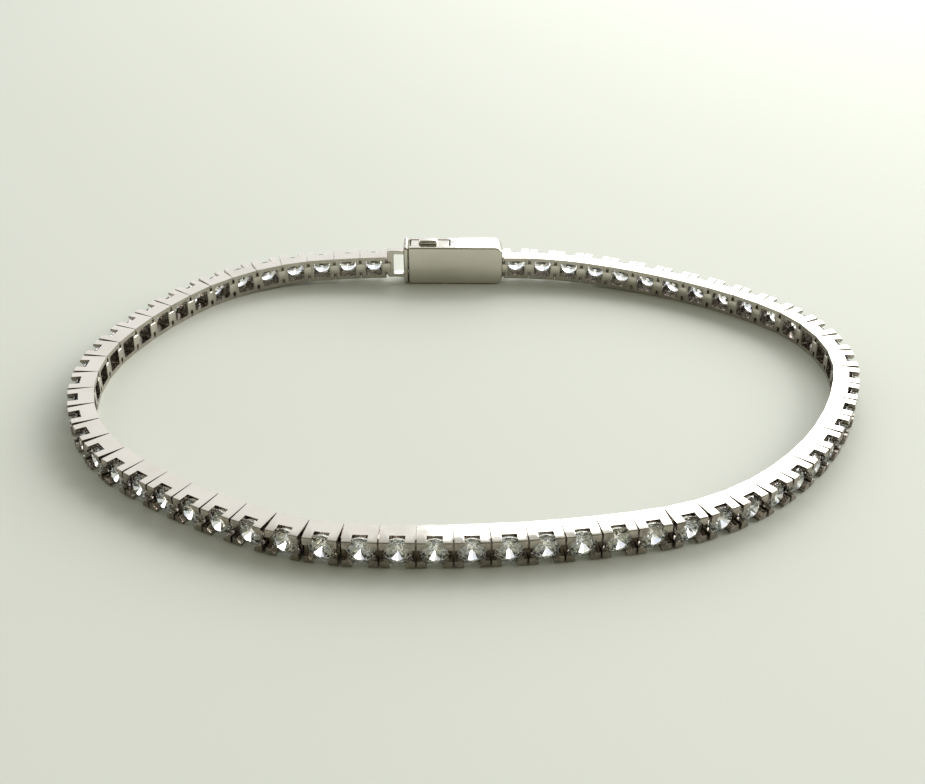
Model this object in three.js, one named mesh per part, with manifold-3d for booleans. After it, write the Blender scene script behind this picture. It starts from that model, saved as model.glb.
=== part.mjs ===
import * as THREE from 'three';
import { mergeVertices } from 'three/addons/utils/BufferGeometryUtils.js';
import Module from 'manifold-3d';

// A tennis bracelet that lies closed on a table. Square collets, each with a round stone, are
// hinged into a loop that a box clasp closes. Millimetres, +Z up. The clasp is at the far side,
// towards +Y. A link's own frame has X along the chain, Y out of the loop and Z up, and its
// origin is the middle of its inner edge.

// ---- the links ----
const PITCH = 2.8;
const LINK_HEIGHT = 2.5;
const LINK_DEPTH = 2.4;
const LINK_GAP = 0.12;
const SEAT_DEPTH = 1.7;
const NOTCH_FLOOR = 1.4;
const CLAW = { width: 0.75, height: 0.68 };
const WINDOW = { side: 1.6, depth: 0.5 };
const STONE = { girdle: 2.3, table: 1.3, top: 2.15, sunk: 0.1, sides: 6 };
const LUG = { near: 0.4, far: 0.9, height: 0.9, reach: 0.35, root: 0.3, play: 0.06 };

// ---- the loop, clockwise from the clasp ----
const START_HEADING = 0.5;
const BENDS = [
  { hinges: 9, turn: 4.5 },
  { hinges: 1, turn: 6.5 },
  { hinges: 5, turn: 11.5 },
  { hinges: 7, turn: 5.0 },
  { hinges: 4, turn: 7.0 },
  { hinges: 8, turn: 2.0 },
  { hinges: 3, turn: 7.5 },
  { hinges: 5, turn: 3.0 },
  { hinges: 1, turn: 10.0 },
  { hinges: 7, turn: 8.5 },
  { hinges: 4, turn: 4.5 },
  { hinges: 5, turn: 9.5 },
  { hinges: 2, turn: 1.0 },
];
const LINKS_IN_RUN = [8, 8, 8, 7, 7, 8, 8, 8];
// The clasp is taller than the links, so it holds up the ends of the chain.
const END_LIFT = 0.6;
const LIFTED_LINKS = 7;

// ---- the clasp ----
const BOX = { length: 10.15, height: 4.3, depth: 2.8, inside: -0.2, wall: 0.4, corner: 0.85 };
const CUT_OUT = { length: 4.5, width: 1.7 };
const END_PLATE = { thickness: 0.5, foot: 0.05, gap: 0.05 };
const FRAME = { bar: 0.7, rail: 0.4, height: 3.1, depth: 0.8 };
const LEAF = { width: 1.4, thickness: 0.3, lowTop: 1.1, reach: 7.9 };
const CATCH = { foldGap: 0.15, foldInset: 0.3, rise: 16, length: 7.0 };
const COVER = { length: 4.1, width: 1.5, thickness: 0.25, fromPlate: 0.3, sunk: 0.05 };
const PRESS = { length: 2.1, width: 1.1, fromPlate: 1.1, proud: 0.4, round: 0.35 };

// Corners closer than this are one, a cutting shape reaches this far past a face, and a round
// edge has this many steps.
const WELD = 1e-5;
const PAST = 1;
const ARC_STEPS = 4;

const wasm = await Module();
wasm.setup();

const whiteGold = { color: 0xcfcbc2, roughness: 0.18, metalness: 1.0 };

function solidOf(geometry) {
  const bare = geometry.clone();
  bare.deleteAttribute('normal');
  bare.deleteAttribute('uv');
  const merged = mergeVertices(bare, WELD);
  return new wasm.Manifold(new wasm.Mesh({
    numProp: 3,
    vertProperties: merged.attributes.position.array,
    triVerts: Uint32Array.from(merged.index.array),
  }));
}

function geometryOf(solid) {
  const { vertProperties, triVerts } = solid.getMesh();
  const geometry = new THREE.BufferGeometry();
  geometry.setAttribute('position', new THREE.BufferAttribute(vertProperties, 3));
  geometry.setIndex(new THREE.BufferAttribute(triVerts, 1));
  geometry.computeVertexNormals();
  return geometry;
}

function block(low, high) {
  const geometry = new THREE.BoxGeometry(high[0] - low[0], high[1] - low[1], high[2] - low[2]);
  geometry.translate((low[0] + high[0]) / 2, (low[1] + high[1]) / 2, (low[2] + high[2]) / 2);
  return geometry;
}

function placedSolid(geometry, matrix) {
  return solidOf(geometry.clone().applyMatrix4(matrix));
}

function makePart(name, solid) {
  const part = new THREE.Mesh(geometryOf(solid), new THREE.MeshStandardMaterial(whiteGold));
  part.name = name;
  return part;
}

// ---- one link ----

function makeCollet() {
  const end = (PITCH - LINK_GAP) / 2;
  const inner = end - CLAW.width;
  const top = LINK_HEIGHT / 2;
  const sideOn = new THREE.Shape();
  sideOn.moveTo(-end, 0);
  sideOn.lineTo(end, 0);
  sideOn.lineTo(end, LINK_DEPTH);
  sideOn.lineTo(inner, LINK_DEPTH);
  sideOn.lineTo(inner, NOTCH_FLOOR);
  sideOn.lineTo(-inner, NOTCH_FLOOR);
  sideOn.lineTo(-inner, LINK_DEPTH);
  sideOn.lineTo(-end, LINK_DEPTH);
  sideOn.closePath();
  const walls = new THREE.ExtrudeGeometry(sideOn, { depth: LINK_HEIGHT, bevelEnabled: false });
  walls.translate(0, 0, -top);
  const betweenClaws = block(
    [-PITCH, SEAT_DEPTH, CLAW.height - top], [PITCH, PITCH, top - CLAW.height]);
  const half = WINDOW.side / 2;
  const backWindow = block([-half, -WINDOW.depth, -half], [half, WINDOW.depth, half]);
  const collet = solidOf(walls).subtract(solidOf(betweenClaws)).subtract(solidOf(backWindow));
  return geometryOf(collet.add(solidOf(makeStone())));
}

// The crown of the stone, on a straight girdle that stands in the seat.
function makeStone() {
  const outline = [
    new THREE.Vector2(0, NOTCH_FLOOR - STONE.sunk),
    new THREE.Vector2(STONE.girdle / 2, NOTCH_FLOOR - STONE.sunk),
    new THREE.Vector2(STONE.girdle / 2, SEAT_DEPTH),
    new THREE.Vector2(STONE.table / 2, STONE.top),
    new THREE.Vector2(0, STONE.top),
  ];
  return new THREE.LatheGeometry(outline, STONE.sides);
}

// The lug stands out of a link's end and reaches into the next one.
function makeLug(play = 0) {
  const half = LUG.height / 2 + play;
  return block(
    [PITCH / 2 - LUG.root, LUG.near - play, -half],
    [PITCH / 2 + LUG.reach + play, LUG.far + play, half]);
}

// ---- the chain ----

function liftAt(hingeNumber, linkCount) {
  const fromClasp = Math.min(hingeNumber, linkCount - hingeNumber, LIFTED_LINKS);
  return END_LIFT * (1 + Math.cos(Math.PI * fromClasp / LIFTED_LINKS)) / 2;
}

function walkLoop() {
  const turns = BENDS.flatMap(({ hinges, turn }) => new Array(hinges).fill(turn));
  const linkCount = turns.length + 1;
  const links = [];
  let heading = START_HEADING;
  const at = new THREE.Vector3(0, 0, liftAt(0, linkCount));
  for (let link = 0; link < linkCount; link += 1) {
    const angle = THREE.MathUtils.degToRad(heading);
    const climb = liftAt(link + 1, linkCount) - liftAt(link, linkCount);
    const next = at.clone().add(new THREE.Vector3(
      PITCH * Math.cos(angle), PITCH * Math.sin(angle), climb));
    const turned = new THREE.Euler(0, -Math.asin(climb / PITCH), angle, 'ZYX');
    const middle = at.clone().add(next).divideScalar(2);
    middle.z += LINK_HEIGHT / 2;
    links.push(new THREE.Matrix4().makeRotationFromEuler(turned).setPosition(middle));
    at.copy(next);
    heading -= turns[link] ?? 0;
  }
  return { links, end: at };
}

function makeRun(links, colletShape, lugBefore) {
  let run = null;
  for (const matrix of links) {
    const link = placedSolid(colletShape, matrix).add(placedSolid(makeLug(), matrix));
    run = run ? run.add(link) : link.subtract(placedSolid(makeLug(LUG.play), lugBefore));
  }
  return run;
}

// ---- the clasp, in a frame whose origin is the first hinge of the chain ----

function boxOutline(inset, mouth) {
  const right = -LINK_GAP - inset;
  const left = -LINK_GAP - BOX.length - mouth;
  const bottom = inset;
  const top = BOX.height - inset;
  const radius = BOX.corner - inset;
  const outline = new THREE.Shape();
  outline.moveTo(left, bottom);
  outline.lineTo(right - radius, bottom);
  outline.absarc(right - radius, bottom + radius, radius, -Math.PI / 2, 0, false);
  outline.absarc(right - radius, top - radius, radius, 0, Math.PI / 2, false);
  outline.lineTo(left, top);
  outline.closePath();
  return outline;
}

// An outline drawn in X and Z, given a thickness along Y from the near plane to the far one.
function extrudeAlongY(outline, near, far) {
  const geometry = new THREE.ExtrudeGeometry(outline, {
    depth: far - near, bevelEnabled: false, curveSegments: ARC_STEPS,
  });
  return geometry.rotateX(Math.PI / 2).translate(0, far, 0);
}

function makeClaspBox(lugMatrix) {
  const near = BOX.inside;
  const far = BOX.inside + BOX.depth;
  const middle = (near + far) / 2;
  const left = -LINK_GAP - BOX.length;
  const shell = solidOf(extrudeAlongY(boxOutline(0, 0), near, far));
  const hollow = solidOf(extrudeAlongY(boxOutline(BOX.wall, PAST), near + BOX.wall, far - BOX.wall));
  const cutOut = solidOf(block(
    [left - PAST, middle - CUT_OUT.width / 2, BOX.height - 2 * BOX.wall],
    [left + CUT_OUT.length, middle + CUT_OUT.width / 2, BOX.height + PAST]));
  return shell.subtract(hollow).subtract(cutOut).add(placedSolid(makeLug(), lugMatrix));
}

function makeTongue(chainEnd, lugMatrix) {
  const boxLeft = -LINK_GAP - BOX.length;
  const plateRight = boxLeft - END_PLATE.gap;
  const plateLeft = plateRight - END_PLATE.thickness;
  const middle = BOX.inside + BOX.depth / 2;
  const plate = block(
    [plateLeft, BOX.inside, END_PLATE.foot], [plateRight, BOX.inside + BOX.depth, BOX.height]);
  const leaf = block(
    [plateLeft, middle - LEAF.width / 2, LEAF.lowTop - LEAF.thickness],
    [plateRight + LEAF.reach, middle + LEAF.width / 2, LEAF.lowTop]);
  const near = chainEnd.y + (LUG.near + LUG.far - FRAME.depth) / 2;
  const far = near + FRAME.depth;
  const low = (BOX.height - FRAME.height) / 2;
  const high = low + FRAME.height;
  const left = chainEnd.x + LINK_GAP / 2;
  const frame = block([left, near, low], [plateLeft + END_PLATE.gap, far, high]);
  const opening = block(
    [left + FRAME.bar, near - PAST, low + FRAME.rail],
    [plateLeft, far + PAST, high - FRAME.rail]);
  return solidOf(frame).subtract(solidOf(opening)).add(solidOf(plate)).add(solidOf(leaf))
    .subtract(placedSolid(makeLug(LUG.play), lugMatrix));
}

// The upper leaf of the tongue rises from the fold to the mouth. It carries a cover, which
// closes the cut-out of the box, and the thumb press on it.
function makeThumbCatch() {
  const plateRight = -LINK_GAP - BOX.length - END_PLATE.gap;
  const foldX = plateRight + LEAF.reach - CATCH.foldInset;
  const foldZ = LEAF.lowTop + CATCH.foldGap + LEAF.thickness / 2;
  const middle = BOX.inside + BOX.depth / 2;
  const leaf = block(
    [-CATCH.length, middle - LEAF.width / 2, -LEAF.thickness / 2],
    [0, middle + LEAF.width / 2, LEAF.thickness / 2]);
  leaf.rotateY(THREE.MathUtils.degToRad(CATCH.rise)).translate(foldX, 0, foldZ);
  const left = plateRight + PRESS.fromPlate;
  const right = left + PRESS.length;
  const top = BOX.height + PRESS.proud;
  const outline = new THREE.Shape();
  outline.moveTo(left, foldZ + (foldX - left) * Math.tan(THREE.MathUtils.degToRad(CATCH.rise)));
  outline.lineTo(right, foldZ + (foldX - right) * Math.tan(THREE.MathUtils.degToRad(CATCH.rise)));
  outline.lineTo(right, top - PRESS.round);
  outline.absarc(right - PRESS.round, top - PRESS.round, PRESS.round, 0, Math.PI / 2, false);
  outline.absarc(left + PRESS.round, top - PRESS.round, PRESS.round, Math.PI / 2, Math.PI, false);
  outline.closePath();
  const press = extrudeAlongY(outline, middle - PRESS.width / 2, middle + PRESS.width / 2);
  const coverLeft = plateRight + COVER.fromPlate;
  const coverTop = BOX.height - COVER.sunk;
  const cover = block(
    [coverLeft, middle - COVER.width / 2, coverTop - COVER.thickness],
    [coverLeft + COVER.length, middle + COVER.width / 2, coverTop]);
  return solidOf(leaf).add(solidOf(press)).add(solidOf(cover));
}

// ---- the bracelet ----

const bracelet = new THREE.Group();
const { links, end } = walkLoop();
const colletShape = makeCollet();

// The clasp box's lug enters the first link as if the box were the link before it.
const boxLugPlace = new THREE.Matrix4().setPosition(-PITCH / 2, 0, END_LIFT + LINK_HEIGHT / 2);

let firstLink = 0;
LINKS_IN_RUN.forEach((count, run) => {
  const lugBefore = run === 0 ? boxLugPlace : links[firstLink - 1];
  const runLinks = links.slice(firstLink, firstLink + count);
  bracelet.add(makePart(`links_${run + 1}`, makeRun(runLinks, colletShape, lugBefore)));
  firstLink += count;
});

const clasp = new THREE.Group();
clasp.add(makePart('clasp_box', makeClaspBox(boxLugPlace)));
clasp.add(makePart('clasp_tongue', makeTongue(end, links.at(-1))));
clasp.add(makePart('thumb_catch', makeThumbCatch()));
bracelet.add(clasp);

// The origin is the middle of the bracelet, on the table.
const bounds = new THREE.Box3().setFromObject(bracelet, true);
const centre = bounds.getCenter(new THREE.Vector3());
bracelet.position.set(-centre.x, -centre.y, -bounds.min.z);

export default bracelet;
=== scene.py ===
"""A tennis bracelet of polished white gold, lying closed on a table.

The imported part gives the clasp's place, and the chain is laid out again from the part's own
bends. Collets, stones, hinges and clasp are made finer here, in metres. In a link's own frame
X runs along the chain, Y out of the loop and Z up, and the origin is the middle of its inner
edge. The clasp's frame starts at the chain's first hinge.
"""
import math
import random

import bmesh
import bpy
from mathutils import Euler, Matrix, Vector


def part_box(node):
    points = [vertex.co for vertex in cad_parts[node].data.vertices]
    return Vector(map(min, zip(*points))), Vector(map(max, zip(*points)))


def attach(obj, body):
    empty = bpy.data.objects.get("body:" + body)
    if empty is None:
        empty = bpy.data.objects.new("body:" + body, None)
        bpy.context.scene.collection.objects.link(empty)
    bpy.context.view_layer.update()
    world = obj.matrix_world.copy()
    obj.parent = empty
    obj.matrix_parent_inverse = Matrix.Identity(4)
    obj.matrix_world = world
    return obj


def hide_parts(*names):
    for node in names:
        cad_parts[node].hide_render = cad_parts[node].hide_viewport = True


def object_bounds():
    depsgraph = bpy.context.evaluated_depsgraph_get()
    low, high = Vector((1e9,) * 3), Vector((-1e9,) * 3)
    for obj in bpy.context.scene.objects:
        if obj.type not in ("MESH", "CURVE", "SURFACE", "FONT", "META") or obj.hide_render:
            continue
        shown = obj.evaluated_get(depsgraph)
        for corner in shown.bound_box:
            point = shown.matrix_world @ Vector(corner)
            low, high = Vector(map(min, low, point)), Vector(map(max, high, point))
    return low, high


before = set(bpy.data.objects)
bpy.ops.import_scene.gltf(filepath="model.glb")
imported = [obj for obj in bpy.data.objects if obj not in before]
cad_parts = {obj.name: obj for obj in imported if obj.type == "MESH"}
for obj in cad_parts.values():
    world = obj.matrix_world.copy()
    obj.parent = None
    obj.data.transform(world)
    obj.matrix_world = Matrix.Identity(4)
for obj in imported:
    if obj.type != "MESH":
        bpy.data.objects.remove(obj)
cad_low, cad_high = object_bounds()

MM = 0.001

# ---- the links, as in the part ----
PITCH = 2.8 * MM
LINK_HEIGHT = 2.5 * MM
LINK_DEPTH = 2.4 * MM
LINK_GAP = 0.12 * MM
NOTCH_FLOOR = 1.4 * MM
CLAW_WIDTH = 0.75 * MM
CLAW_HEIGHT = 0.68 * MM
# How the chain bends: so many hinges in turn, each by so many degrees. These rows and the
# heading that they start from were found by a fitting program and not chosen by hand.
START_HEADING = 0.5
BENDS = (
    {"hinges": 9, "turn": 4.5},
    {"hinges": 1, "turn": 6.5},
    {"hinges": 5, "turn": 11.5},
    {"hinges": 7, "turn": 5.0},
    {"hinges": 4, "turn": 7.0},
    {"hinges": 8, "turn": 2.0},
    {"hinges": 3, "turn": 7.5},
    {"hinges": 5, "turn": 3.0},
    {"hinges": 1, "turn": 10.0},
    {"hinges": 7, "turn": 8.5},
    {"hinges": 4, "turn": 4.5},
    {"hinges": 5, "turn": 9.5},
    {"hinges": 2, "turn": 1.0},
)
LINKS_IN_RUN = (8, 8, 8, 7, 7, 8, 8, 8)
END_LIFT = 0.6 * MM
LIFTED_LINKS = 7

# ---- the clasp, as in the part ----
BOX_LENGTH = 10.15 * MM
BOX_HEIGHT = 4.3 * MM
BOX_DEPTH = 2.8 * MM
BOX_INSIDE = -0.2 * MM
BOX_WALL = 0.4 * MM
BOX_CORNER = 0.85 * MM
BOX_LEFT = -LINK_GAP - BOX_LENGTH
BOX_RIGHT = -LINK_GAP
BOX_MIDDLE = BOX_INSIDE + BOX_DEPTH / 2
CUT_OUT_LENGTH = 4.5 * MM
CUT_OUT_WIDTH = 1.7 * MM
PLATE_THICKNESS = 0.5 * MM
PLATE_FOOT = 0.05 * MM
PLATE_GAP = 0.05 * MM
PLATE_RIGHT = BOX_LEFT - PLATE_GAP
PLATE_LEFT = PLATE_RIGHT - PLATE_THICKNESS
FRAME_BAR = 0.7 * MM
FRAME_RAIL = 0.4 * MM
FRAME_HEIGHT = 3.1 * MM
FRAME_DEPTH = 0.8 * MM
LEAF_WIDTH = 1.4 * MM
LEAF_THICKNESS = 0.3 * MM
LEAF_TOP = 1.1 * MM
LEAF_REACH = 7.9 * MM
FOLD_INSET = 0.3 * MM
FOLD_GAP = 0.15 * MM
FOLD_HEIGHT = LEAF_TOP + FOLD_GAP + LEAF_THICKNESS / 2
FOLD = Vector((PLATE_RIGHT + LEAF_REACH - FOLD_INSET, 0.0, FOLD_HEIGHT))
LEAF_RISE = 16.0
LEAF_LENGTH = 7.0 * MM
COVER_LENGTH = 4.1 * MM
COVER_WIDTH = 1.5 * MM
COVER_THICKNESS = 0.25 * MM
COVER_SUNK = 0.05 * MM
COVER_FROM_PLATE = 0.3 * MM
COVER_LEFT = PLATE_RIGHT + COVER_FROM_PLATE
PRESS_LENGTH = 2.1 * MM
PRESS_WIDTH = 1.1 * MM
PRESS_FROM_PLATE = 1.1 * MM
PRESS_LEFT = PLATE_RIGHT + PRESS_FROM_PLATE
PRESS_PROUD = 0.4 * MM
PRESS_CORNER = 0.35 * MM
LUG_MIDDLE = 0.65 * MM

random.seed(62)


# ---- shaping ----

# Corners closer than these are one, in a turned shape and in a cut one.
TURNED_WELD = 1e-7
CUT_WELD = 1e-6
# An edge runs along an axis if it goes this share of its length that way.
ALONG_SHARE = 0.99
# Neighbouring faces that turn by less than these degrees are one flat face.
CUT_FLAT = 1.0
STONE_FLAT = 0.5


def finish_mesh(name, bm, materials, smooth_angle=20.0):
    """Turns a bmesh into a piece at the origin, with facets sharp past the given angle."""
    mesh = bpy.data.meshes.new(name)
    for face in bm.faces:
        face.smooth = True
    bm.to_mesh(mesh)
    bm.free()
    mesh.set_sharp_from_angle(angle=math.radians(smooth_angle))
    for material in materials:
        mesh.materials.append(material)
    piece = bpy.data.objects.new(name, mesh)
    bpy.context.scene.collection.objects.link(piece)
    return piece


def mesh_of(bm, name):
    """Turns a bmesh into a loose mesh that pieces are made of."""
    mesh = bpy.data.meshes.new(name)
    bm.to_mesh(mesh)
    bm.free()
    return mesh


def add_copy(bm, source, matrix):
    """Adds a copy of a mesh, placed by a matrix."""
    there = set(bm.verts)
    bm.from_mesh(source)
    added = [vert for vert in bm.verts if vert not in there]
    bmesh.ops.transform(bm, matrix=matrix, verts=added)


def add_block(bm, low, high):
    """Adds a block from its low corner to its high one and gives back its vertices."""
    low = Vector(low)
    high = Vector(high)
    made = bmesh.ops.create_cube(bm, size=1.0)["verts"]
    bmesh.ops.scale(bm, vec=high - low, verts=made)
    bmesh.ops.translate(bm, vec=(low + high) / 2, verts=made)
    return made


def edges_of(verts):
    """The edges that touch any of the vertices."""
    return list({edge for vert in verts for edge in vert.link_edges})


def edges_along(bm, axis, keep):
    """The edges that run along an axis and whose middle passes the test."""
    found = []
    for edge in bm.edges:
        run = edge.verts[1].co - edge.verts[0].co
        middle = (edge.verts[0].co + edge.verts[1].co) / 2
        if abs(run[axis]) > ALONG_SHARE * run.length and keep(middle):
            found.append(edge)
    return found


def corner_edges(bm, angle):
    """The edges where two faces meet at more than the angle."""
    return [
        edge for edge in bm.edges
        if len(edge.link_faces) == 2 and edge.calc_face_angle(0.0) > math.radians(angle)
    ]


def paint_faces(verts, gold):
    """Gives the faces round the vertices one of the golds."""
    for face in {face for vert in verts for face in vert.link_faces}:
        face.material_index = gold


def round_edges(bm, edges, width, segments=2):
    bmesh.ops.bevel(
        bm, geom=edges, offset=width, offset_type="OFFSET", segments=segments,
        profile=0.5, affect="EDGES", material=-1, clamp_overlap=True,
    )


def add_turning(bm, outline, steps):
    """Spins an outline of (radius, distance out) pairs round the link's Y axis."""
    verts = [bm.verts.new((radius, out, 0.0)) for radius, out in outline]
    edges = [bm.edges.new(pair) for pair in zip(verts, verts[1:])]
    bmesh.ops.spin(
        bm, geom=verts + edges, cent=(0, 0, 0), axis=(0, 1, 0), angle=math.tau,
        steps=steps, use_merge=True, use_duplicate=False,
    )
    bmesh.ops.remove_doubles(bm, verts=bm.verts, dist=TURNED_WELD)
    bmesh.ops.recalc_face_normals(bm, faces=bm.faces)


def tool_from(build):
    """A loose object that holds a cutting shape, made by build(bm)."""
    bm = bmesh.new()
    build(bm)
    tool = bpy.data.objects.new("cutter", mesh_of(bm, "cutter"))
    bpy.context.scene.collection.objects.link(tool)
    return tool


def cut_blank(build_blank, build_tools):
    """Cuts shapes out of a blank and gives back the result as a bmesh."""
    blank = tool_from(build_blank)
    tools = [tool_from(build) for build in build_tools]
    for tool in tools:
        cut = blank.modifiers.new("cut", "BOOLEAN")
        cut.operation = "DIFFERENCE"
        cut.solver = "EXACT"
        cut.object = tool
    bpy.context.view_layer.update()
    depsgraph = bpy.context.evaluated_depsgraph_get()
    bm = bmesh.new()
    bm.from_object(blank, depsgraph)
    for leftover in [blank, *tools]:
        mesh = leftover.data
        bpy.data.objects.remove(leftover)
        bpy.data.meshes.remove(mesh)
    bmesh.ops.remove_doubles(bm, verts=bm.verts, dist=CUT_WELD)
    bmesh.ops.dissolve_limit(
        bm, angle_limit=math.radians(CUT_FLAT), verts=bm.verts, edges=bm.edges)
    return bm


# ---- materials ----

# The places of the golds in a piece's list of materials; the second and third golds are darker
# copies of the first, painted shade.
POLISHED = 0
SHADE_GOLD = 1
INNER = 2


def start_material(name):
    material = bpy.data.materials.new(name)
    material.use_nodes = True
    nodes = material.node_tree.nodes
    return material, nodes, material.node_tree.links, nodes["Principled BSDF"]


def add_noise(nodes, links, place, scale, stretch=(1.0, 1.0, 1.0), turn=0.0, detail=3.0):
    """Noise on the piece's own coordinates, with scale in features per metre."""
    mapping = nodes.new("ShaderNodeMapping")
    mapping.inputs["Scale"].default_value = stretch
    mapping.inputs["Rotation"].default_value = (0.0, 0.0, math.radians(turn))
    links.new(place, mapping.inputs["Vector"])
    noise = nodes.new("ShaderNodeTexNoise")
    noise.inputs["Scale"].default_value = scale
    noise.inputs["Detail"].default_value = detail
    links.new(mapping.outputs["Vector"], noise.inputs["Vector"])
    return noise.outputs["Fac"]


# Noise lies round a half, so this middle of it is spread over a whole range.
NOISE_MIDDLE = (0.3, 0.7)


def add_range(nodes, links, value, low, high, reach=NOISE_MIDDLE, curve="LINEAR"):
    """Spreads a value's reach over the range from low to high."""
    spread = nodes.new("ShaderNodeMapRange")
    spread.interpolation_type = curve
    spread.inputs["From Min"].default_value = reach[0]
    spread.inputs["From Max"].default_value = reach[1]
    spread.inputs["To Min"].default_value = low
    spread.inputs["To Max"].default_value = high
    links.new(value, spread.inputs["Value"])
    return spread.outputs["Result"]


def add_blend(nodes, links, share, first, second):
    blend = nodes.new("ShaderNodeMix")
    blend.data_type = "RGBA"
    blend.inputs["A"].default_value = (*first, 1.0)
    blend.inputs["B"].default_value = (*second, 1.0)
    links.new(share, blend.inputs["Factor"])
    return blend.outputs["Result"]


def add_relief(nodes, links, height, distance, before=None):
    """A bump whose full height is the distance; before is the relief that it lies on."""
    bump = nodes.new("ShaderNodeBump")
    bump.inputs["Strength"].default_value = 1.0
    bump.inputs["Distance"].default_value = distance
    links.new(height, bump.inputs["Height"])
    if before is not None:
        links.new(before, bump.inputs["Normal"])
    return bump.outputs["Normal"]


# The two ways in which a cloth wiped the metal, in degrees.
WIPING_TURNS = (28.0, -37.0)


def white_gold():
    """White gold, polished by hand: a soft swell, wiping scratches, haze and a warmer tone."""
    material, nodes, links, shader = start_material("polished_white_gold")
    place = nodes.new("ShaderNodeTexCoord").outputs["Object"]
    patches = add_noise(nodes, links, place, scale=260.0)
    tone = add_range(nodes, links, patches, low=0.0, high=1.0)
    colour = add_blend(
        nodes, links, tone, first=(0.58, 0.545, 0.475), second=(0.64, 0.605, 0.535))
    links.new(colour, shader.inputs["Base Color"])
    haze = add_noise(nodes, links, place, scale=900.0, detail=5.0)
    links.new(add_range(nodes, links, haze, low=0.06, high=0.17), shader.inputs["Roughness"])
    swell = add_noise(nodes, links, place, scale=700.0, detail=1.0)
    relief = add_relief(nodes, links, swell, distance=0.006 * MM)
    for turn in WIPING_TURNS:
        scratch = add_noise(
            nodes, links, place, scale=9000.0, stretch=(0.06, 1.0, 0.6), turn=turn, detail=1.0)
        relief = add_relief(nodes, links, scratch, distance=0.0006 * MM, before=relief)
    links.new(relief, shader.inputs["Normal"])
    shader.inputs["Metallic"].default_value = 1.0
    return material


def painted_shade_gold(name, dark, light, roughness):
    """The same gold made darker as painted shade, and cloudy and grained where the polishing wheel
    hardly reaches.
    """
    material, nodes, links, shader = start_material(name)
    place = nodes.new("ShaderNodeTexCoord").outputs["Object"]
    stains = add_noise(nodes, links, place, scale=1500.0, detail=4.0)
    tone = add_range(nodes, links, stains, low=0.0, high=1.0)
    colour = add_blend(nodes, links, tone, first=dark, second=light)
    links.new(colour, shader.inputs["Base Color"])
    haze = add_noise(nodes, links, place, scale=2600.0, detail=4.0)
    links.new(add_range(nodes, links, haze, *roughness), shader.inputs["Roughness"])
    grain = add_noise(nodes, links, place, scale=6000.0, detail=2.0)
    links.new(add_relief(nodes, links, grain, distance=0.004 * MM), shader.inputs["Normal"])
    shader.inputs["Metallic"].default_value = 1.0
    return material


def clear_stone():
    """A clear stone: a faint pastel tint that changes across it, painted fire, and a trace of
    dust.
    """
    material, nodes, links, shader = start_material("clear_stone")
    place = nodes.new("ShaderNodeTexCoord").outputs["Object"]
    flashes = add_noise(nodes, links, place, scale=1700.0, detail=0.0)
    warm = add_range(nodes, links, flashes, low=0.0, high=1.0)
    fire = add_blend(nodes, links, warm, first=(0.84, 0.88, 1.0), second=(1.0, 0.97, 0.84))
    links.new(fire, shader.inputs["Base Color"])
    dust = add_noise(nodes, links, place, scale=4200.0, detail=4.0)
    links.new(add_range(nodes, links, dust, low=0.0, high=0.008), shader.inputs["Roughness"])
    shader.inputs["Transmission Weight"].default_value = 1.0
    shader.inputs["IOR"].default_value = 2.16
    return material


# ---- one link ----

STONE_RADIUS = 1.15 * MM
GIRDLE_OUT = 1.72 * MM
SEAT_BORE = 1.12 * MM
SEAT_FLOOR = 1.0 * MM
SEAT_FLOOR_RADIUS = 0.62 * MM
SEAT_STEPS = 40
SIDE_FLOOR = 1.5 * MM
WINDOW_WIDTH = 1.74 * MM
WINDOW_HEIGHT = 1.66 * MM
WINDOW_CORNER = 0.2 * MM
WINDOW_CORNER_STEPS = 5
SLOT_WIDTH = 0.12 * MM
SLOT_DEPTH = 0.4 * MM
SLOT_RIM = 0.27 * MM
EDGE = 0.03 * MM
CLAW_ROUND = 0.12 * MM
CLAW_ROUND_STEPS = 3
CLAW_SIDE_ROUND = 0.05 * MM
END_ROOM = 0.03 * MM
KNUCKLE_LOW = (-0.48 * MM, -0.04 * MM, -0.54 * MM)
KNUCKLE_HIGH = (0.48 * MM, 0.9 * MM, 0.54 * MM)
KNUCKLE_ROUND = 0.12 * MM
KNUCKLE_ROUND_STEPS = 4
HINGE_PLATE_LOW = (-0.1 * MM, 0.3 * MM, -0.95 * MM)
HINGE_PLATE_HIGH = (0.1 * MM, 1.5 * MM, 0.95 * MM)
# How far a cutting shape reaches past the collet.
COLLET_PAST = 0.3 * MM
# Room for the tilt of the collets inside the outline of the part.
TILT_ROOM = 0.03 * MM


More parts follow.
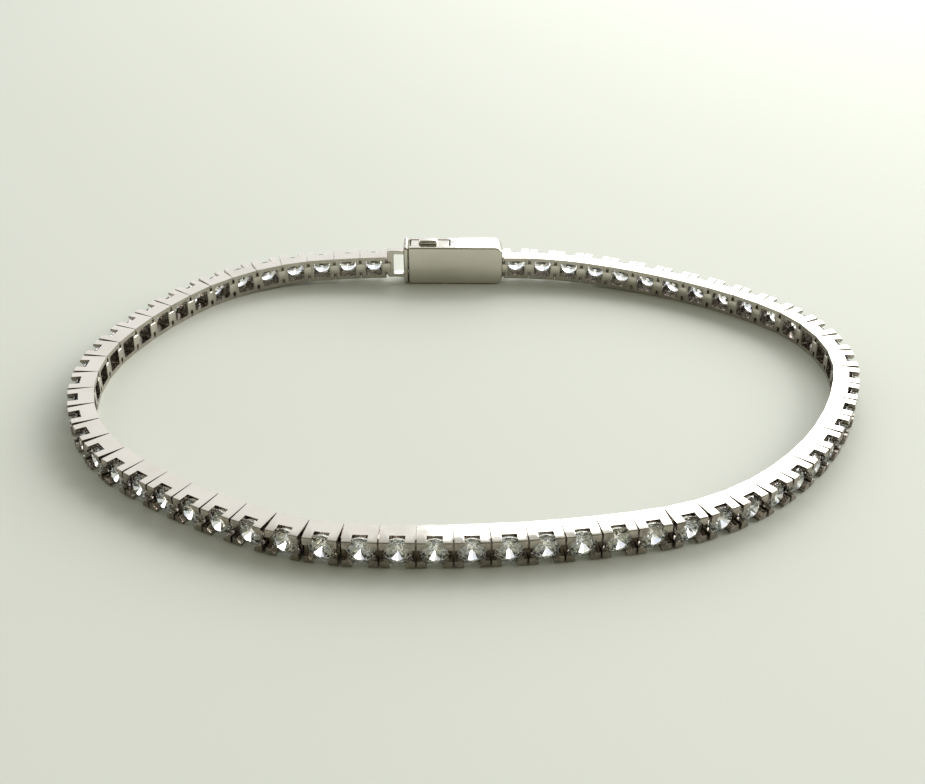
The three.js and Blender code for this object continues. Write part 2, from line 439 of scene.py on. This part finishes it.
def make_collet():
    """A square collet with a claw at each corner, a round seat and an open back."""
    end = PITCH / 2 - END_ROOM
    top = LINK_HEIGHT / 2 - TILT_ROOM
    far = LINK_DEPTH - TILT_ROOM

    def blank(bm):
        add_block(bm, (-end, 0, -top), (end, far, top))
        rims = edges_along(bm, 0, lambda middle: middle.y > far - EDGE)
        round_edges(bm, rims, CLAW_ROUND, CLAW_ROUND_STEPS)
        sides = edges_along(bm, 2, lambda middle: middle.y > far - EDGE)
        round_edges(bm, sides, CLAW_SIDE_ROUND)

    def back_window(bm):
        add_block(
            bm, (-WINDOW_WIDTH / 2, -COLLET_PAST, -WINDOW_HEIGHT / 2),
            (WINDOW_WIDTH / 2, NOTCH_FLOOR, WINDOW_HEIGHT / 2))
        corners = edges_along(bm, 1, lambda middle: True)
        round_edges(bm, corners, WINDOW_CORNER, WINDOW_CORNER_STEPS)

    def seat(bm):
        add_turning(bm, (
            (0, SEAT_FLOOR), (SEAT_FLOOR_RADIUS, SEAT_FLOOR), (SEAT_BORE, SIDE_FLOOR),
            (SEAT_BORE, far + COLLET_PAST), (0, far + COLLET_PAST),
        ), SEAT_STEPS)

    def upper_and_lower_notch(bm):
        half = end - CLAW_WIDTH
        add_block(bm, (-half, NOTCH_FLOOR, -2 * top), (half, 2 * far, 2 * top))

    def side_notch(bm):
        half = top - CLAW_HEIGHT
        add_block(bm, (-2 * end, SIDE_FLOOR, -half), (2 * end, 2 * far, half))

    def hinge_slot(bm):
        for side in (-1, 1):
            x = sorted((side * (end - SLOT_WIDTH), side * 2 * end))
            add_block(bm, (x[0], -far, SLOT_RIM - top), (x[1], SLOT_DEPTH, top - SLOT_RIM))

    bm = cut_blank(blank, (back_window, seat, upper_and_lower_notch, side_notch, hinge_slot))
    inside_ends = [
        edge for edge in corner_edges(bm, angle=30.0)
        if min(abs(vert.co.x) for vert in edge.verts) < end - EDGE
    ]
    round_edges(bm, inside_ends, EDGE)
    # Tops and bottoms take the polished gold; the rest is painted shade: the inner side takes the
    # inner gold, and the claws, notches, seat, slots and ends the darker gold.
    for face in bm.faces:
        middle = face.calc_center_median()
        if abs(middle.z) > top - EDGE:
            face.material_index = POLISHED
        else:
            face.material_index = INNER if middle.y < EDGE else SHADE_GOLD
    return mesh_of(bm, "collet")


def make_hinge():
    """The knuckle that bridges two links, centred on the hinge line, and the plate behind it."""
    bm = bmesh.new()
    knuckle = add_block(bm, KNUCKLE_LOW, KNUCKLE_HIGH)
    round_edges(bm, edges_of(knuckle), KNUCKLE_ROUND, KNUCKLE_ROUND_STEPS)
    # The plate behind the knuckle takes the darker gold: painted shade between the links.
    paint_faces(add_block(bm, HINGE_PLATE_LOW, HINGE_PLATE_HIGH), SHADE_GOLD)
    return mesh_of(bm, "hinge")


# Proportions of a round brilliant, in girdle radii.
TABLE_RADIUS = 0.55
CROWN_HEIGHT = 0.33
GIRDLE_HALF = 0.025
PAVILION_DEPTH = 0.86
LOWER_HALVES = 0.24


def brilliant_rings():
    """The rings of corners between table and culet; turn is a share of one corner's step."""
    eighth = math.cos(math.pi / 8)
    star = (TABLE_RADIUS * eighth + 1.0) / 2
    star_height = CROWN_HEIGHT * (1.0 - (star * eighth - TABLE_RADIUS) / (1.0 - TABLE_RADIUS))
    lower_height = PAVILION_DEPTH * (1.0 - LOWER_HALVES * eighth)
    return (
        {"radius": TABLE_RADIUS, "height": GIRDLE_HALF + CROWN_HEIGHT, "corners": 8, "turn": 0.0},
        {"radius": star, "height": GIRDLE_HALF + star_height, "corners": 8, "turn": 0.5},
        {"radius": 1.0, "height": GIRDLE_HALF, "corners": 16, "turn": 0.0},
        {"radius": 1.0, "height": -GIRDLE_HALF, "corners": 16, "turn": 0.0},
        {"radius": LOWER_HALVES, "height": -GIRDLE_HALF - lower_height, "corners": 8, "turn": 0.5},
    )


def make_brilliant():
    """A round brilliant whose table faces out of the loop."""
    bm = bmesh.new()
    for ring in brilliant_rings():
        made = bmesh.ops.create_circle(
            bm, segments=ring["corners"], radius=ring["radius"], cap_ends=False)["verts"]
        turn = ring["turn"] * math.tau / ring["corners"]
        bmesh.ops.rotate(bm, cent=(0, 0, 0), matrix=Matrix.Rotation(turn, 3, "Z"), verts=made)
        bmesh.ops.translate(bm, vec=(0, 0, ring["height"]), verts=made)
    bm.verts.new((0, 0, -GIRDLE_HALF - PAVILION_DEPTH))
    bmesh.ops.delete(bm, geom=list(bm.edges), context="EDGES_FACES")
    bmesh.ops.convex_hull(bm, input=list(bm.verts))
    bmesh.ops.dissolve_limit(
        bm, angle_limit=math.radians(STONE_FLAT), verts=bm.verts, edges=bm.edges)
    bmesh.ops.recalc_face_normals(bm, faces=bm.faces)
    bmesh.ops.scale(bm, vec=(STONE_RADIUS,) * 3, verts=bm.verts)
    bmesh.ops.rotate(
        bm, cent=(0, 0, 0), matrix=Matrix.Rotation(-math.pi / 2, 3, "X"), verts=bm.verts)
    return mesh_of(bm, "brilliant")


# ---- the chain ----

# How far a link may lean out of true, in degrees, about X and about Y.
LEAN = 0.6
DIP = 0.5


def lift_at(hinge, link_count):
    """How far the clasp holds a hinge above the table."""
    from_clasp = min(hinge, link_count - hinge, LIFTED_LINKS)
    return END_LIFT * (1.0 + math.cos(math.pi * from_clasp / LIFTED_LINKS)) / 2


def walk_loop(first_hinge):
    """The place of each link, clockwise from the clasp, and the last hinge."""
    turns = [bend["turn"] for bend in BENDS for _ in range(bend["hinges"])]
    link_count = len(turns) + 1
    heading = START_HEADING
    at = first_hinge + Vector((0, 0, lift_at(0, link_count)))
    places = []
    for link in range(link_count):
        angle = math.radians(heading)
        climb = lift_at(link + 1, link_count) - lift_at(link, link_count)
        following = at + Vector((PITCH * math.cos(angle), PITCH * math.sin(angle), climb))
        turned = Euler((0.0, -math.asin(climb / PITCH), angle), "XYZ").to_matrix().to_4x4()
        middle = (at + following) / 2 + Vector((0, 0, LINK_HEIGHT / 2))
        places.append(Matrix.Translation(middle) @ turned)
        at = following
        if link < len(turns):
            heading -= turns[link]
    return places, at


def make_chain(places, golds, stone):
    """The collets and the stones, a piece of each for every run of links."""
    collet = make_collet()
    hinge = make_hinge()
    brilliant = make_brilliant()
    first = 0
    for run, count in enumerate(LINKS_IN_RUN, start=1):
        metal = bmesh.new()
        stones = bmesh.new()
        for link in range(first, first + count):
            place = places[link]
            wobble = Euler((
                math.radians(random.uniform(-LEAN, LEAN)),
                math.radians(random.uniform(-DIP, DIP)), 0.0)).to_matrix().to_4x4()
            add_copy(metal, collet, place @ wobble)
            add_copy(metal, hinge, place @ Matrix.Translation((PITCH / 2, 0, 0)))
            spin = Matrix.Rotation(random.uniform(0, math.pi / 4), 4, "Y")
            seat = Matrix.Translation((0, GIRDLE_OUT, 0))
            add_copy(stones, brilliant, place @ wobble @ seat @ spin)
        collets = finish_mesh(f"collets_{run}", metal, golds)
        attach(collets, "bracelet")
        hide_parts(f"links_{run}")
        gems = finish_mesh(f"stones_{run}", stones, (stone,), smooth_angle=1.0)
        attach(gems, "bracelet")
        first += count


# ---- the clasp ----

BOX_CORNER_STEPS = 10
BOX_RIM = 0.18 * MM
BOX_RIM_STEPS = 5
# Up to this height the box takes the darker gold: a painted contact shadow along its foot.
BOX_SHADOW_HEIGHT = 0.17 * MM
HOLLOW_CORNER_STEPS = 6
CUT_OUT_FLOOR = BOX_HEIGHT - 2 * BOX_WALL
CUT_OUT_CORNER = 0.25 * MM
CUT_OUT_CORNER_STEPS = 4
WEB_NEAR = 0.35 * MM
WEB_FAR = 1.6 * MM
FRAME_CORNER = 0.3 * MM
FRAME_CORNER_STEPS = 6
FRAME_INNER_CORNER = 0.15 * MM
FRAME_INNER_CORNER_STEPS = 4
FRAME_EDGE = 0.08 * MM
FRAME_EDGE_STEPS = 3
FRAME_INTO_PLATE = 0.05 * MM
PLATE_ROUND = 0.24 * MM
PLATE_ROUND_STEPS = 8
# Above this height the end plate takes the darker gold: painted shade on its top.
PLATE_SHADE_TOP = BOX_HEIGHT - 0.2 * MM
LEAF_INTO_PLATE = 0.3 * MM
LEAF_EDGE = 0.06 * MM
COVER_EDGE = 0.04 * MM
PRESS_CORNER_STEPS = 6
PRESS_EDGE = 0.3 * MM
PRESS_EDGE_STEPS = 8
# How far a cutting shape reaches past the clasp.
CLASP_PAST = 1.0 * MM


def finish_clasp_piece(name, bm, golds, first_hinge, body, node):
    """Moves a piece of the clasp into place and hands it over to its body."""
    bmesh.ops.translate(bm, vec=first_hinge, verts=bm.verts)
    piece = finish_mesh(name, bm, golds, smooth_angle=28.0)
    flat = piece.modifiers.new("keep_flats_flat", "WEIGHTED_NORMAL")
    flat.keep_sharp = True
    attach(piece, body)
    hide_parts(node)


def make_clasp_box(golds, first_hinge):
    """The hollow box: rounded at the chain's end, open at the tongue's end, cut out above."""
    far = BOX_INSIDE + BOX_DEPTH

    def blank(bm):
        add_block(bm, (BOX_LEFT, BOX_INSIDE, 0), (BOX_RIGHT, far, BOX_HEIGHT))
        ends = edges_along(bm, 1, lambda middle: middle.x > BOX_RIGHT - BOX_WALL)
        round_edges(bm, ends, BOX_CORNER, BOX_CORNER_STEPS)
        round_edges(bm, corner_edges(bm, angle=40.0), BOX_RIM, BOX_RIM_STEPS)

    def hollow(bm):
        add_block(
            bm, (BOX_LEFT - CLASP_PAST, BOX_INSIDE + BOX_WALL, BOX_WALL),
            (BOX_RIGHT - BOX_WALL, far - BOX_WALL, BOX_HEIGHT - BOX_WALL))
        ends = edges_along(bm, 1, lambda middle: middle.x > BOX_RIGHT - 2 * BOX_WALL)
        round_edges(bm, ends, BOX_CORNER - BOX_WALL, HOLLOW_CORNER_STEPS)

    def cut_out(bm):
        half = CUT_OUT_WIDTH / 2
        right = BOX_LEFT + CUT_OUT_LENGTH
        add_block(
            bm, (BOX_LEFT - CLASP_PAST, BOX_MIDDLE - half, CUT_OUT_FLOOR),
            (right, BOX_MIDDLE + half, BOX_HEIGHT + CLASP_PAST))
        corners = edges_along(bm, 2, lambda middle: middle.x > BOX_LEFT)
        round_edges(bm, corners, CUT_OUT_CORNER, CUT_OUT_CORNER_STEPS)

    bm = cut_blank(blank, (hollow, cut_out))
    round_edges(bm, corner_edges(bm, angle=60.0), EDGE)
    # Faces near the table take the darker gold: a painted contact shadow along the box's foot.
    for face in bm.faces:
        shadowed = face.calc_center_median().z < BOX_SHADOW_HEIGHT
        face.material_index = SHADE_GOLD if shadowed else POLISHED
    # A web across the gap between the box and the first link, in the darker gold: painted shade in
    # the gap.
    web = add_block(
        bm, (BOX_RIGHT - BOX_WALL / 2, WEB_NEAR, END_LIFT + EDGE),
        (0, WEB_FAR, END_LIFT + LINK_HEIGHT - EDGE))
    paint_faces(web, SHADE_GOLD)
    knuckle = Vector((0, 0, END_LIFT + LINK_HEIGHT / 2))
    add_copy(bm, make_hinge(), Matrix.Translation(knuckle))
    finish_clasp_piece("clasp_shell", bm, golds, first_hinge, "bracelet", "clasp_box")


def make_clasp_tongue(golds, first_hinge, last_hinge):
    """The connector frame, the end plate and the lower leaf of the spring."""
    end = last_hinge - first_hinge
    near = end.y + LUG_MIDDLE - FRAME_DEPTH / 2
    left = end.x + LINK_GAP / 2
    low = (BOX_HEIGHT - FRAME_HEIGHT) / 2
    high = low + FRAME_HEIGHT

    def frame_blank(bm):
        add_block(
            bm, (left, near, low), (PLATE_LEFT + FRAME_INTO_PLATE, near + FRAME_DEPTH, high))
        ends = edges_along(bm, 1, lambda middle: middle.x < left + FRAME_BAR)
        round_edges(bm, ends, FRAME_CORNER, FRAME_CORNER_STEPS)

    def frame_opening(bm):
        add_block(
            bm, (left + FRAME_BAR, near - CLASP_PAST, low + FRAME_RAIL),
            (PLATE_RIGHT, near + 2 * CLASP_PAST, high - FRAME_RAIL))
        ends = edges_along(bm, 1, lambda middle: middle.x < left + 2 * FRAME_BAR)
        round_edges(bm, ends, FRAME_INNER_CORNER, FRAME_INNER_CORNER_STEPS)

    bm = cut_blank(frame_blank, (frame_opening,))
    round_edges(bm, corner_edges(bm, angle=60.0), FRAME_EDGE, FRAME_EDGE_STEPS)
    far = BOX_INSIDE + BOX_DEPTH
    plate = add_block(
        bm, (PLATE_LEFT, BOX_INSIDE, PLATE_FOOT), (PLATE_RIGHT, far, BOX_HEIGHT))
    round_edges(bm, edges_of(plate), PLATE_ROUND, PLATE_ROUND_STEPS)
    # The top of the end plate takes the darker gold: painted shade.
    for face in bm.faces:
        if face.calc_center_median().z > PLATE_SHADE_TOP:
            face.material_index = SHADE_GOLD
    half = LEAF_WIDTH / 2
    leaf = add_block(
        bm, (PLATE_RIGHT - LEAF_INTO_PLATE, BOX_MIDDLE - half, LEAF_TOP - LEAF_THICKNESS),
        (FOLD.x + FOLD_INSET, BOX_MIDDLE + half, LEAF_TOP))
    round_edges(bm, edges_of(leaf), LEAF_EDGE)
    finish_clasp_piece("clasp_tongue_leaf", bm, golds, first_hinge, "bracelet", "clasp_tongue")


def make_thumb_catch(golds, first_hinge):
    """The upper leaf of the spring, with the cover of the cut-out and a rounded thumb press."""
    bm = bmesh.new()
    half = LEAF_WIDTH / 2
    leaf = add_block(
        bm, (-LEAF_LENGTH, -half, -LEAF_THICKNESS / 2), (0, half, LEAF_THICKNESS / 2))
    round_edges(bm, edges_of(leaf), LEAF_EDGE)
    bmesh.ops.rotate(
        bm, cent=(0, 0, 0), matrix=Matrix.Rotation(math.radians(LEAF_RISE), 3, "Y"),
        verts=bm.verts)
    bmesh.ops.translate(bm, vec=FOLD + Vector((0, BOX_MIDDLE, 0)), verts=bm.verts)
    cover_top = BOX_HEIGHT - COVER_SUNK
    cover = add_block(
        bm, (COVER_LEFT, BOX_MIDDLE - COVER_WIDTH / 2, cover_top - COVER_THICKNESS),
        (COVER_LEFT + COVER_LENGTH, BOX_MIDDLE + COVER_WIDTH / 2, cover_top))
    round_edges(bm, edges_of(cover), COVER_EDGE)
    foot = FOLD.z + (FOLD.x - PRESS_LEFT - PRESS_LENGTH) * math.tan(math.radians(LEAF_RISE))
    top = BOX_HEIGHT + PRESS_PROUD
    press = add_block(
        bm, (PRESS_LEFT, BOX_MIDDLE - PRESS_WIDTH / 2, foot),
        (PRESS_LEFT + PRESS_LENGTH, BOX_MIDDLE + PRESS_WIDTH / 2, top))
    uprights = [
        edge for edge in edges_of(press)
        if abs(edge.verts[0].co.z - edge.verts[1].co.z) > PRESS_PROUD
    ]
    round_edges(bm, uprights, PRESS_CORNER, PRESS_CORNER_STEPS)
    rim = [
        edge for edge in corner_edges(bm, angle=60.0)
        if min(vert.co.z for vert in edge.verts) > top - EDGE
    ]
    round_edges(bm, rim, PRESS_EDGE, PRESS_EDGE_STEPS)
    finish_clasp_piece("thumb_press_leaf", bm, golds, first_hinge, "catch", "thumb_catch")


# ---- surroundings ----

ROOM_DIM = (0.08, 0.08, 0.062)
ROOM_LIGHT = (0.44, 0.44, 0.35)
FAR_WALL = (1.22, 1.24, 1.27)
# The camera's values, AIM among them, come from the same fit as BENDS.
LENS = 50.5
SENSOR = 36.0
EYE_ELEVATION = 31.3
EYE_ROLL = 0.17
EYE_DISTANCE = 117.35 * MM
# What the camera looks at, from the middle of the part's footprint.
AIM = Vector((-0.56, -3.68, 2.5)) * MM


def make_floor():
    """A plain pale table with a faint change of tone."""
    material, nodes, links, shader = start_material("pale_table")
    place = nodes.new("ShaderNodeTexCoord").outputs["Object"]
    tone = add_range(nodes, links, add_noise(nodes, links, place, scale=9.0), low=0.0, high=1.0)
    colour = add_blend(
        nodes, links, tone, first=(0.68, 0.702, 0.625), second=(0.695, 0.713, 0.64))
    links.new(colour, shader.inputs["Base Color"])
    shader.inputs["Roughness"].default_value = 0.8
    bm = bmesh.new()
    bmesh.ops.create_grid(bm, x_segments=1, y_segments=1, size=2.0)
    floor = finish_mesh("table_top", bm, (material,))


def add_panel(name, at, size, tilt, turn, power):
    """A standing panel of light, leaning down by tilt; at no turn it faces the near side."""
    light = bpy.data.lights.new(name, "AREA")
    light.shape = "RECTANGLE"
    light.size = size[0]
    light.size_y = size[1]
    light.energy = power
    lamp = bpy.data.objects.new(name, light)
    bpy.context.scene.collection.objects.link(lamp)
    lamp.location = at
    lamp.rotation_euler = (math.radians(-90.0 + tilt), 0.0, math.radians(turn))


def make_room():
    """A dim, uneven room with a pale wall at the far side."""
    world = bpy.data.worlds.new("room")
    world.use_nodes = True
    nodes = world.node_tree.nodes
    links = world.node_tree.links
    background = nodes["Background"]
    direction = nodes.new("ShaderNodeSeparateXYZ")
    links.new(nodes.new("ShaderNodeTexCoord").outputs["Generated"], direction.inputs["Vector"])
    farness = add_range(
        nodes, links, direction.outputs["Y"], low=0.0, high=1.0,
        reach=(-0.1, 0.5), curve="SMOOTHSTEP")
    lowness = add_range(
        nodes, links, direction.outputs["Z"], low=1.0, high=0.0,
        reach=(0.66, 0.9), curve="SMOOTHSTEP")
    wall = nodes.new("ShaderNodeMath")
    wall.operation = "MULTIPLY"
    links.new(farness, wall.inputs[0])
    links.new(lowness, wall.inputs[1])
    clutter = nodes.new("ShaderNodeTexNoise")
    clutter.inputs["Scale"].default_value = 3.2
    clutter.inputs["Detail"].default_value = 3.0
    shade = add_range(nodes, links, clutter.outputs["Fac"], low=0.0, high=1.0)
    dim = add_blend(nodes, links, shade, first=ROOM_DIM, second=ROOM_LIGHT)
    colour = nodes.new("ShaderNodeMix")
    colour.data_type = "RGBA"
    colour.inputs["B"].default_value = (*FAR_WALL, 1.0)
    links.new(wall.outputs["Value"], colour.inputs["Factor"])
    links.new(dim, colour.inputs["A"])
    links.new(colour.outputs["Result"], background.inputs["Color"])
    background.inputs["Strength"].default_value = 1.0
    bpy.context.scene.world = world


def light_scene():
    """The room, a window at the far right and another at the right."""
    make_room()
    add_panel(
        "window", at=(0.325, 0.39, 0.247), size=(0.65, 0.364), tilt=12.0, turn=0.0, power=3.15)
    add_panel(
        "side_window", at=(0.80, 0.22, 0.42), size=(0.5, 0.5), tilt=22.0, turn=-75.0, power=4.2)


def add_camera(middle):
    """The camera, from the near side and above; middle is that of the part's footprint."""
    camera = bpy.data.cameras.new("camera")
    camera.lens = LENS
    camera.sensor_width = SENSOR
    camera.clip_start = MM
    eye = bpy.data.objects.new("camera", camera)
    bpy.context.scene.collection.objects.link(eye)
    elevation = math.radians(EYE_ELEVATION)
    target = middle + AIM
    eye.location = target + EYE_DISTANCE * Vector((0, -math.cos(elevation), math.sin(elevation)))
    look = (target - eye.location).to_track_quat("-Z", "Y").to_matrix()
    roll = Matrix.Rotation(math.radians(EYE_ROLL), 3, "Z")
    eye.rotation_euler = (look @ roll).to_euler()
    bpy.context.scene.camera = eye


# The two darker golds are painted shade: the first in hollows, on the claws, along the box's foot
# and on the end plate's top; the second on the links' inner side.
golds = (
    white_gold(),
    painted_shade_gold("recess_gold_painted_shade", (0.27, 0.24, 0.205), (0.50, 0.45, 0.39), (0.16, 0.36)),
    painted_shade_gold("inner_gold_painted_shade", (0.42, 0.385, 0.335), (0.54, 0.50, 0.435), (0.10, 0.24)),
)
stone = clear_stone()
box_low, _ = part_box("clasp_box")
first_hinge = Vector((box_low.x - BOX_LEFT, box_low.y - BOX_INSIDE, 0.0))
places, last_hinge = walk_loop(first_hinge)
make_chain(places, golds, stone)
make_clasp_box(golds, first_hinge)
make_clasp_tongue(golds, first_hinge, last_hinge)
make_thumb_catch(golds, first_hinge)
make_floor()
light_scene()
add_camera(Vector(((cad_low[0] + cad_high[0]) / 2, (cad_low[1] + cad_high[1]) / 2, 0.0)))
bpy.context.scene.view_settings.view_transform = "Standard"
